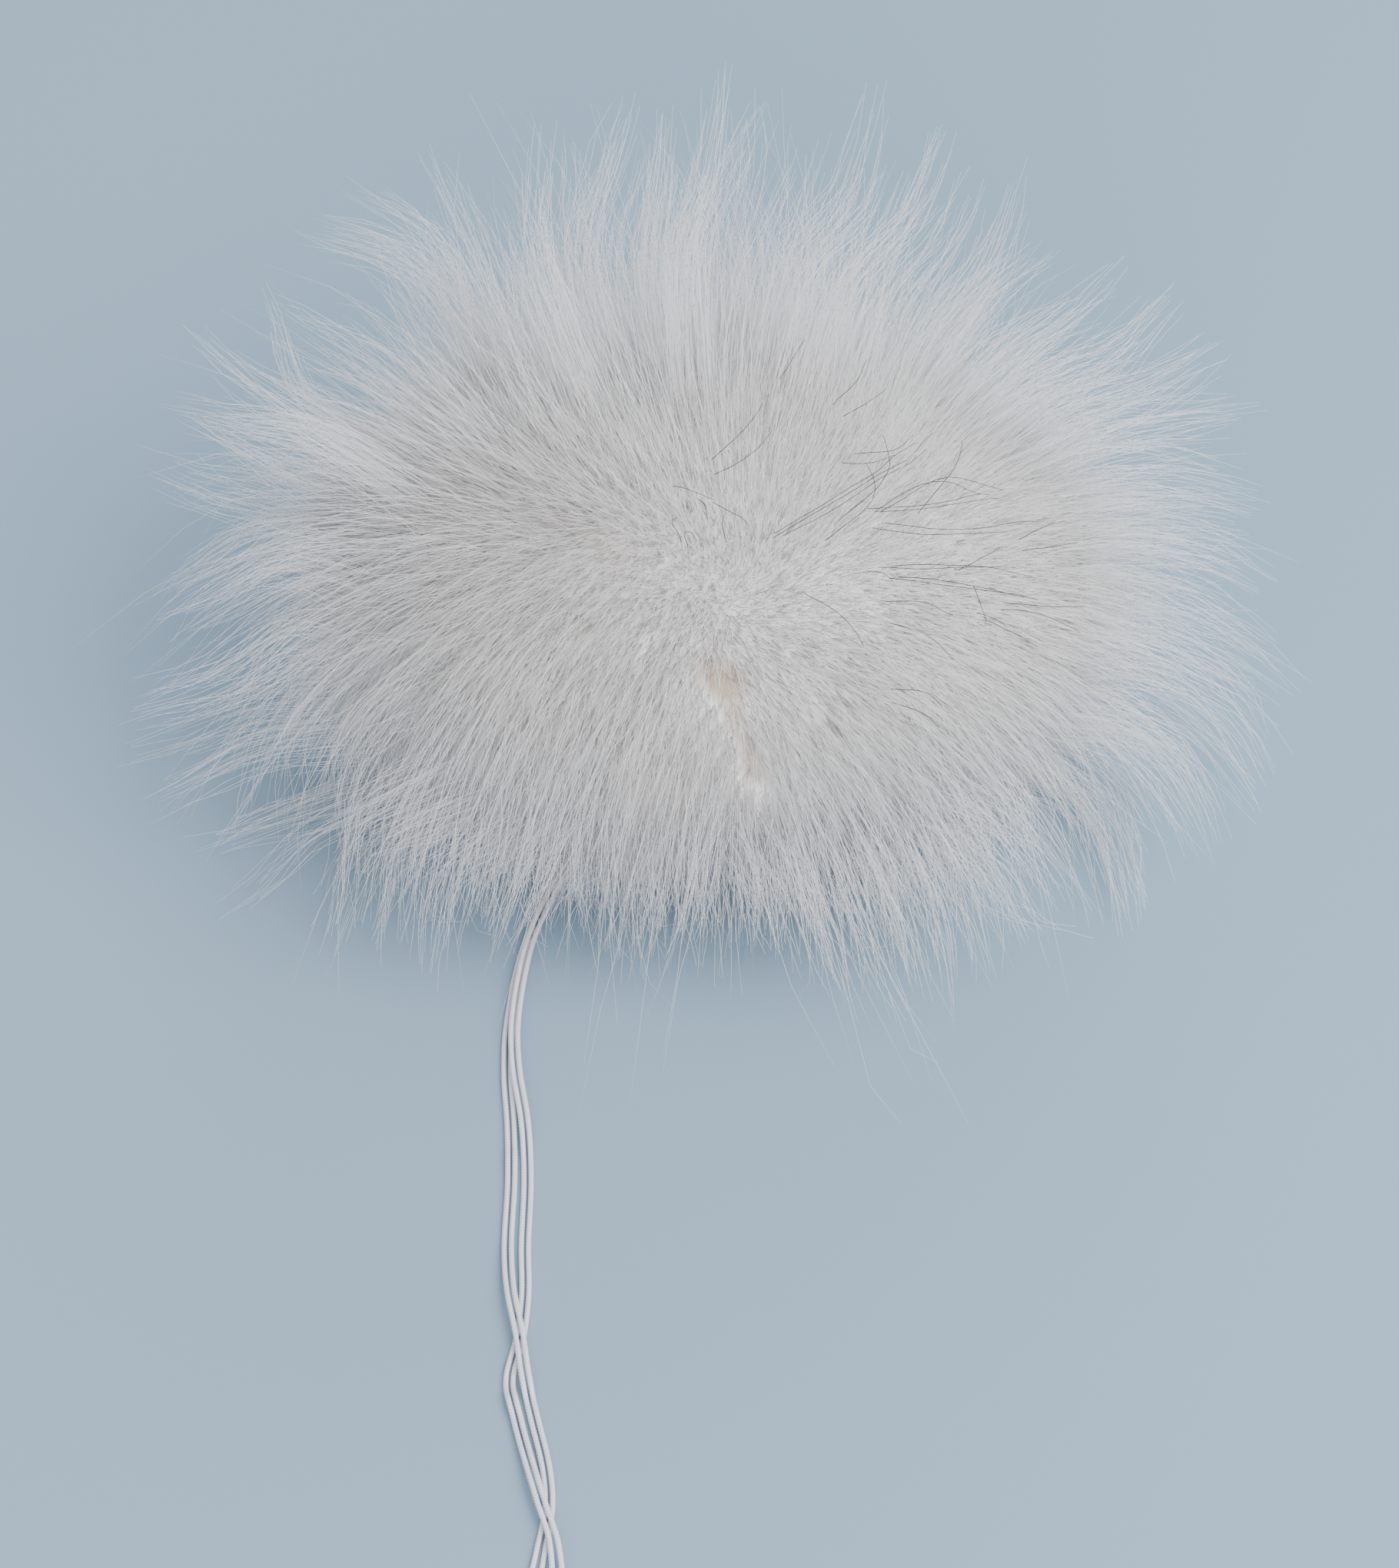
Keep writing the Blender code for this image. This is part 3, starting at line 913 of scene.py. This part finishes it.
def hair_fields(points):
    """For roots on the pile: the hair's tips, the shoulder it bends over and how it hangs."""
    rays = unit(points - HAIR_CENTRE)
    normals = pile_normals(points)
    angle, away = away_from_parting(rays)
    lay = LAY_FAR + (LAY_NEAR - LAY_FAR) * (1 - steps(angle, 0, LAY_FADE))
    swirl = noise_at(points, SWIRL_SCALE, SWIRL_SEED)
    swirl -= rays * (swirl * rays).sum(axis=1)[:, None]
    leaning = unit(
        rays * np.cos(lay)[:, None]
        + away * np.sin(lay)[:, None]
        + swirl * SWIRL
    )
    tips = tip_shell(leaning)
    out = np.hypot(tips[:, 0], tips[:, 1]) / REACH_SIDE
    tips[:, 2] -= DROOP * out * out
    length = np.linalg.norm(tips - points, axis=1)[:, None]
    outward = (tips - points) / length
    behind = facing_away(points, BEHIND_FROM, BEHIND_TO)[:, None]
    way = HANG_WAY + (BEHIND_WAY - HANG_WAY) * (behind > 0)
    falling = unit(way - normals * (normals * way).sum(axis=1)[:, None])
    hang = np.maximum(hanging(points)[:, None], HANG_BEHIND * behind)
    heading = unit(outward * (1 - hang) + falling * hang)
    upright = unit(normals * SHOULDER_UPRIGHT + heading * (1 - SHOULDER_UPRIGHT))
    length = length * (1 + HANG_LONGER * hang)
    return points + heading * length, points + upright * length * SHOULDER, hang[:, 0]


def cream_roots(points):
    """How cream the roots are at each point: up to 1 at the cream places, and 0 elsewhere."""
    shown = np.zeros(len(points))
    for row in CREAM_PLACES:
        middle = nearest_on_line(points, at_pixel(row["from"]), at_pixel(row["to"]))
        away = np.linalg.norm(points - middle, axis=1)
        here = 1 - steps(away, CREAM_CORE * row["wide"], row["wide"])
        shown = np.maximum(shown, row["cream"] * here)
    return shown


def make_pelt(material):
    """The dense pile: a geodesic ball of its sizes, softly swollen, with the hair's fields."""
    bm = bmesh.new()
    bmesh.ops.create_icosphere(bm, subdivisions=PILE_DIVISIONS, radius=1.0)
    mesh = bpy.data.meshes.new("pile")
    bm.to_mesh(mesh)
    bm.free()
    co = np.zeros(len(mesh.vertices) * 3, np.float32)
    mesh.vertices.foreach_get("co", co)
    directions = unit(co.reshape(-1, 3).astype(float))
    waist = np.array((0.0, 0.0, PILE_WAIST))
    points = waist + directions * pile_sizes(waist + directions)
    tips, shoulders, hang = hair_fields(points)
    cream = cream_roots(points)
    rooted = steps(points[:, 2], PILE_UNDERSIDE, PILE_UNDERSIDE + ROOTED_OVER)
    add_attribute(mesh, "tip", tips)
    add_attribute(mesh, "shoulder", shoulders)
    add_attribute(mesh, "hang", hang)
    add_attribute(mesh, "behind", facing_away(points, LONGER_FROM, LONGER_TO))
    add_attribute(mesh, "cream", cream)
    add_attribute(mesh, "rooted", rooted)
    add_attribute(mesh, "growth", rooted * (1 - THINNED * cream))
    angle = away_from_parting(unit(points - HAIR_CENTRE))[0]
    high = (points - CAMERA_TARGET) @ PICTURE_UP
    many = np.maximum(steps(angle, LONG_FROM, LONG_TO), 1 - steps(high, LONG_LOW, LONG_HIGH))
    add_attribute(mesh, "long_growth", rooted * (LONG_LEAST + (1 - LONG_LEAST) * many))
    swell = np.array([noise.noise(Vector(point) * SWELL_SCALE) for point in points])
    points += pile_normals(points) * (PILE_SWELL * swell)[:, None]
    mesh.vertices.foreach_set("co", points.astype(np.float32).ravel())
    mesh.update()
    mesh.shade_smooth()
    mesh.materials.append(material)
    return new_object("pile", mesh)


# Hair

def under_hair_tree():
    """Short hair on a pelt: fine pointed cones that lean with its fields, in soft tufts."""
    net = GrowthNet("under_hair", UNDER_HAIR[0])
    pelt, seed = net.given("Geometry"), net.given("Seed")
    place = net.add("GeometryNodeInputPosition")
    tufts = net.spaced(pelt, net.given("Tufts"), seed)
    tufts = net.store(tufts, "sway", net.any_way(1.0, seed + 1))
    roots = net.scattered(pelt, net.given("Hairs"), "growth", seed + 2)
    upright = net.heading(net.attribute("shoulder") - place)
    flow = net.heading(net.attribute("tip") - place)
    heading = net.heading(
        net.between(upright, flow, net.given("Leaning"), "VECTOR")
        + net.nearest_on(tufts, net.attribute("sway")) * net.given("Tufting")
        + net.any_way(1.0, seed + 3) * net.given("Straying")
    )
    reach = net.between(net.given("Shortest"), net.given("Longest"),
                        net.chance(0.0, 1.0, seed + 4))
    reach = reach * (1.0 + net.number("hang") * UNDER_HANG_LONGER)
    roots = net.store(roots, "tone", net.chance(0.0, 1.0, seed + 5), "FLOAT")
    roots = net.store(roots, "bend", (flow - heading) * (reach * BEND))
    turn = net.add("FunctionNodeAlignRotationToVector", {"axis": "Z"}, {"Vector": heading})
    width = net.given("Width")
    size = net.add("ShaderNodeCombineXYZ", None, {"X": width, "Y": width, "Z": reach})
    cone = net.add("GeometryNodeMeshCone", None,
                   {"Vertices": 3, "Side Segments": net.given("Bends"), "Fill Segments": 1,
                    "Radius Top": 0.0, "Radius Bottom": 0.5, "Depth": 1.0})
    split = net.add("ShaderNodeSeparateXYZ", None, {0: place})
    cone = net.store(cone, "along", split.output("Z"), "FLOAT")
    hair = net.add("GeometryNodeInstanceOnPoints", None,
                   {"Points": roots, "Instance": cone, "Rotation": turn, "Scale": size})
    hair = net.add("GeometryNodeRealizeInstances", None, {"Geometry": hair})
    along = net.number("along")
    bent = place + net.attribute("bend") * (along * along)
    return net.close(net.moved(hair, net.above_surface(bent)))


def long_hair_tree():
    """Hair on a pelt: strands that follow its fields, gathered into wisps and tapered."""
    net = GrowthNet("long_hair", LONG_HAIR[0])
    pelt, seed = net.given("Geometry"), net.given("Seed")
    place = net.add("GeometryNodeInputPosition")
    tip, shoulder = net.attribute("tip"), net.attribute("shoulder")

    # Each wisp leans and bows its own way
    wisps = net.spaced(pelt, net.given("Wisps"), seed + 100)
    length = net.length(tip - place)
    wisps = net.store(wisps, "wisp_tip", tip + net.any_way(WISP_LEAN, seed + 1) * length)
    wisps = net.store(wisps, "wisp_shoulder", shoulder + net.any_way(WISP_BOW, seed + 2) * length)

    roots = net.scattered(pelt, net.given("Hairs"), "long_growth", seed)
    roots = net.store(roots, "root", place)
    roots = net.store(roots, "wisp_root", net.nearest_on(wisps, place))
    for name in ("wisp_tip", "wisp_shoulder"):
        roots = net.store(roots, name, net.nearest_on(wisps, net.attribute(name)))
    roots = net.store(roots, "stray", net.any_way(1.0, seed + 3) * net.given("Straying"))
    drawn = net.chance(0.0, 1.0, seed + 4) ** net.given("Length Bias")
    reach = net.between(net.given("Shortest"), net.given("Longest"), drawn)
    reach = reach * (1.0 + net.number("behind") * LONGER_BEHIND)
    roots = net.store(roots, "reach", reach, "FLOAT")
    roots = net.store(roots, "tone", net.chance(0.0, 1.0, seed + 5), "FLOAT")

    line = net.add("GeometryNodeCurvePrimitiveLine")
    line = net.add("GeometryNodeResampleCurve", None,
                   {"Curve": line, "Count": net.given("Points")})
    hair = net.add("GeometryNodeInstanceOnPoints", None, {"Points": roots, "Instance": line})
    hair = net.add("GeometryNodeRealizeInstances", None, {"Geometry": hair})
    share = net.add("GeometryNodeSplineParameter", None, None, "Factor")
    hair = net.store(hair, "along", share, "FLOAT")
    along = net.number("along") * net.number("reach")

    def bent(root, over, end):
        rest = 1.0 - along
        return root * (rest * rest) + over * (2.0 * along * rest) + end * (along * along)

    own = bent(net.attribute("root"), shoulder, tip)
    shared = bent(net.attribute("wisp_root"), net.attribute("wisp_shoulder"),
                  net.attribute("wisp_tip"))
    path = net.between(own, shared, net.given("Gathering") * (along * along), "VECTOR")
    path = path + net.attribute("stray") * (along * along)
    path = net.frizzed(path, net.given("Frizz") * along)
    return net.close(net.strands(net.moved(hair, net.above_surface(path))))


def guided_hair_tree():
    """Hairs along guide lines, spread more or less at their tips, and some cut short."""
    net = GrowthNet("guided_hair", RIM_HAIR)
    seed = net.given("Seed")
    guides = net.add("GeometryNodeMeshToCurve", None, {"Mesh": net.given("Geometry")})
    hair = net.add("GeometryNodeDuplicateElements", {"domain": "SPLINE"},
                   {"Geometry": guides, "Amount": net.number("hairs")})
    hair = net.store(hair, "aside", net.any_way(1.0, seed), "FLOAT_VECTOR", "CURVE")
    hair = net.store(hair, "tone", net.chance(0.0, 1.0, seed + 1), "FLOAT", "CURVE")
    share = net.add("GeometryNodeSplineParameter", None, None, "Factor")
    spread = net.number("wide") * net.between(1.0, net.given("Tip Spread"), share)
    place = net.add("GeometryNodeInputPosition")
    hair = net.moved(hair, place + net.attribute("aside") * spread)
    cut = net.chance(net.given("Shortest"), 1.0, seed + 2)
    hair = net.add("GeometryNodeTrimCurve", {"mode": "FACTOR"}, {"Curve": hair, "End": cut})
    hair = net.add("GeometryNodeResampleCurve", None,
                   {"Curve": hair, "Count": net.given("Points")})
    hair = net.store(hair, "along", share, "FLOAT")
    path = net.frizzed(place, net.given("Frizz") * net.number("along"))
    return net.close(net.strands(net.moved(hair, net.above_surface(path))))


def guide_lines(name, rows, lines):
    """An object with each row's line as edges, and its hairs and width as attributes."""
    verts, edges, wide, hairs = [], [], [], []
    for row, line in zip(rows, lines):
        edges += [(len(verts) + i, len(verts) + i + 1) for i in range(GUIDE_POINTS - 1)]
        verts += [tuple(point) for point in smooth_through(np.array(line), GUIDE_POINTS, 3)]
        wide += [row["wide"] / 1000] * GUIDE_POINTS
        hairs += [row["hairs"]] * GUIDE_POINTS
    guides = drawing(name, verts, edges)
    add_attribute(guides.data, "wide", wide)
    add_attribute(guides.data, "hairs", hairs)
    return guides


def wisp_guides(name, wisps, depth):
    """A line for each wisp, from the pile through the places that the photo shows."""
    draw = np.random.default_rng(RIM_HAIR["Seed"])
    lines = []
    for row in wisps:
        nearer = draw.uniform(*depth)
        out, over, tip = (rim_place(row[key], nearer) for key in ("from", "over", "to"))
        lines.append((root_towards(out), out, over, tip))
    return guide_lines(name, wisps, lines)


def rim_place(pixel, nearer):
    """A photo pixel's place beside the ball, brought towards the camera where it would be low."""
    place = in_view_plane(pixel, np.array((0.0, 0.0, PILE_WAIST)) + BACK_TO_CAMERA * nearer)
    if place[2] < WISP_LOWEST:
        ray = place - EYE
        place = EYE + ray * (WISP_LOWEST - EYE[2]) / ray[2]
    return place


def loose_guides():
    """A line for each group of loose hairs, over the body's hair."""
    lines = [
        [at_pixel(row[key], LOOSE_PROUD[key]) for key in ("from", "over", "to")]
        for row in LOOSE_HAIRS
    ]
    return guide_lines("loose_guides", LOOSE_HAIRS, lines)


def grow(name, source, tree, settings, lines, material):
    """A plain mesh piece of what the tree grows on a pelt or on guide lines, over the ties."""
    settings = {**settings, "Lines": lines, "Material": material}
    piece = new_object(name, source.data)
    growth = piece.modifiers.new("growth", "NODES")
    growth.node_group = tree
    for item in tree.interface.items_tree:
        if item.in_out == "INPUT" and item.name in settings:
            growth[item.identifier] = settings[item.name]
    depsgraph = bpy.context.evaluated_depsgraph_get()
    mesh = bpy.data.meshes.new_from_object(piece.evaluated_get(depsgraph))
    piece.modifiers.remove(growth)
    piece.data = mesh
    mesh.name = name
    keep_attributes(mesh, ("along", "tone", "cream"))
    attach(piece, "root")


# Gathered back

def make_back(material):
    """A puckered round of suede: pleats that run in to a drawn middle, and up into the pile."""
    radius = BACK_RADIUS * math.cos(math.pi / BACK_SIDES) - GAP
    sides = PLEATS * PLEAT_STEPS
    turns = np.linspace(0, 2 * math.pi, sides, endpoint=False)
    around = [Vector((math.cos(turn), math.sin(turn), 0)) for turn in turns]
    wobble = np.array([noise.noise(place * WOBBLE_SCALE) for place in around])
    ridge = 0.5 + 0.5 * np.cos(PLEATS * turns + wobble * WOBBLE)
    verts, crest = [], []
    for share in np.linspace(BACK_MIDDLE, 1, BACK_RINGS):
        folded = PLEAT_DEPTH * (1 - ridge)
        out = radius * share - folded * steps(share, FOLDED_FROM, 1.0)
        low = folded * steps(share, 0.0, PLEATED_BY) + DRAWN_IN * (1 - share) ** 3
        low += BACK_ROUNDING * steps(share, ROUNDED_FROM, 1.0)
        verts += zip(out * np.cos(turns), out * np.sin(turns), low)
        crest += list(ridge)
    for high in np.linspace(WALL_LOWEST, BACK_TOP, WALL_RINGS):
        out = radius - PLEAT_DEPTH * (1 - ridge)
        verts += zip(out * np.cos(turns), out * np.sin(turns), np.full(sides, high))
        crest += list(ridge)
    faces = ring_faces(BACK_RINGS + WALL_RINGS, sides)
    back = new_mesh_object("gathered_back", verts, faces, material)
    add_attribute(back.data, "crest", crest)
    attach(back, "root")
    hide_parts("fur_ball")


# Materials

def new_material(name):
    """A material and the net of its nodes, with its Principled shader."""
    material = bpy.data.materials.new(name)
    material.use_nodes = True
    net = Net(material.node_tree)
    return material, net, material.node_tree.nodes["Principled BSDF"]


def feed(net, shader, **values):
    """Sets or links the shader's sockets by name."""
    for name, value in values.items():
        socket = shader.inputs[name.replace("_", " ")]
        if isinstance(value, Wire):
            net.tree.links.new(value.socket, socket)
        else:
            socket.default_value = value


def reading(net, name):
    """A number stored on the mesh."""
    return net.add("ShaderNodeAttribute", {"attribute_name": name}, None, "Fac")


def fine_relief(net, scale, detail, strength, distance):
    """A noise in the piece's own space, and the normal of a surface that it raises."""
    place = net.add("ShaderNodeTexCoord", None, None, "Object")
    grain = net.add("ShaderNodeTexNoise", None,
                    {"Vector": place, "Scale": scale, "Detail": detail})
    relief = net.add("ShaderNodeBump", None,
                     {"Height": grain, "Strength": strength, "Distance": distance}, "Normal")
    return grain, relief


def hair_finish(name, dull, bright):
    """Fine hair, cream at its roots in the cream places, each strand a little off in tone."""
    material, net, shader = new_material(name)
    shade = net.between(dull, bright, reading(net, "tone"), "RGBA")
    warm = reading(net, "cream") * (1.0 - reading(net, "along") * TIP_WHITE)
    colour = net.between(shade, HAIR_CREAM, warm, "RGBA")
    feed(net, shader, Base_Color=colour, Roughness=0.70, Specular_IOR_Level=0.15)
    through = net.add("ShaderNodeBsdfTranslucent", None, {"Color": bright})
    mixed = net.add("ShaderNodeMixShader", None,
                    {0: HAIR_THROUGH, 1: Wire(net, shader.outputs["BSDF"]), 2: through})
    end = material.node_tree.nodes["Material Output"]
    net.tree.links.new(mixed.socket, end.inputs["Surface"])
    return material


def pile_finish():
    """The pile between the hair: white with fine fibres, and cream in the cream places."""
    material, net, shader = new_material("white_pile")
    grain, relief = fine_relief(net, **PILE_GRAIN)
    white = net.between(PILE_DULL, PILE_WHITE, grain, "RGBA")
    colour = net.between(white, PILE_CREAM, reading(net, "cream"), "RGBA")
    feed(net, shader, Base_Color=colour, Roughness=0.85, Normal=relief)
    return material


def suede_finish():
    """Cream suede, darker in the pleats with painted shade, with a fine nap."""
    material, net, shader = new_material("suede")
    nap, relief = fine_relief(net, **SUEDE_NAP)
    # Painted shade in the pleats' hollows, by the crest, with a little of the nap's tone
    share = reading(net, "crest") * 0.7 + nap * 0.3
    colour = net.between(SUEDE_NAP_AND_PLEAT_SHADE, SUEDE, share, "RGBA")
    feed(net, shader, Base_Color=colour, Roughness=0.9, Normal=relief)
    return material


def tie_finish():
    """Smooth white twisted cord, shaded lilac between its plies, with fine threads."""
    material, net, shader = new_material("tie_thread")
    threads, relief = fine_relief(net, **TIE_THREADS)
    colour = net.between(TIE_SHADE, TIE_WHITE, reading(net, "crest") * 0.5 + 0.5, "RGBA")
    feed(net, shader, Base_Color=colour, Roughness=0.45 + threads * 0.2, Normal=relief)
    return material


def floor_finish():
    material, net, shader = new_material("studio_floor")
    feed(net, shader, Base_Color=FLOOR_COLOUR, Roughness=0.9)
    return material


# Studio

def add_floor():
    half = FLOOR_SIZE / 2
    corners = [(-half, -half, 0), (half, -half, 0), (half, half, 0), (-half, half, 0)]
    new_mesh_object("studio_floor", corners, [(0, 1, 2, 3)], floor_finish())


def add_light(name, place, size, watts, colour):
    """A soft square light that faces the pom pom."""
    data = bpy.data.lights.new(name, "AREA")
    data.size = size
    data.energy = watts
    data.color = colour
    light = new_object(name, data)
    light.location = place
    light.rotation_euler = Vector(place - CAMERA_TARGET).to_track_quat("Z", "Y").to_euler()


def add_lights():
    for row in LIGHTS:
        add_light(**row)
    world = bpy.data.worlds.new("studio")
    bpy.context.scene.world = world
    world.use_nodes = True
    background = world.node_tree.nodes["Background"]
    background.inputs["Color"].default_value = WORLD_COLOUR
    background.inputs["Strength"].default_value = WORLD_STRENGTH


add_camera()
tie_lines = add_ties()
add_floor()
add_lights()

pelt = make_pelt(pile_finish())
white_hair = hair_finish("white_hair", HAIR_DULL, HAIR_WHITE)
soft_hair = hair_finish("soft_hair", UNDER_DULL, UNDER_WHITE)
# The loose hairs' grey finish is painted shade
painted_shade_hair = hair_finish("painted_shade_hair", LOOSE_PAINTED_SHADE_DARK, LOOSE_PAINTED_SHADE_PALE)
under_hair, long_hair, guided_hair = under_hair_tree(), long_hair_tree(), guided_hair_tree()
for row in UNDER_HAIR:
    grow(row["name"], pelt, under_hair, row, tie_lines, soft_hair)
for row in LONG_HAIR:
    grow(row["name"], pelt, long_hair, row, tie_lines, white_hair)
rim = wisp_guides("rim_guides", RIM_WISPS, RIM_DEPTH)
fringe = wisp_guides("fringe_guides", FRINGE_WISPS, FRINGE_DEPTH)
loose = loose_guides()
grow("rim_hair", rim, guided_hair, RIM_HAIR, tie_lines, white_hair)
grow("fringe_hair", fringe, guided_hair, RIM_HAIR, tie_lines, white_hair)
grow("loose_hair", loose, guided_hair, LOOSE_HAIR, tie_lines, painted_shade_hair)
for guide in (tie_lines, rim, fringe, loose):
    bpy.data.objects.remove(guide)

keep_attributes(pelt.data, ("cream",))
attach(pelt, "root")
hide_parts("fur_ball")
make_back(suede_finish())
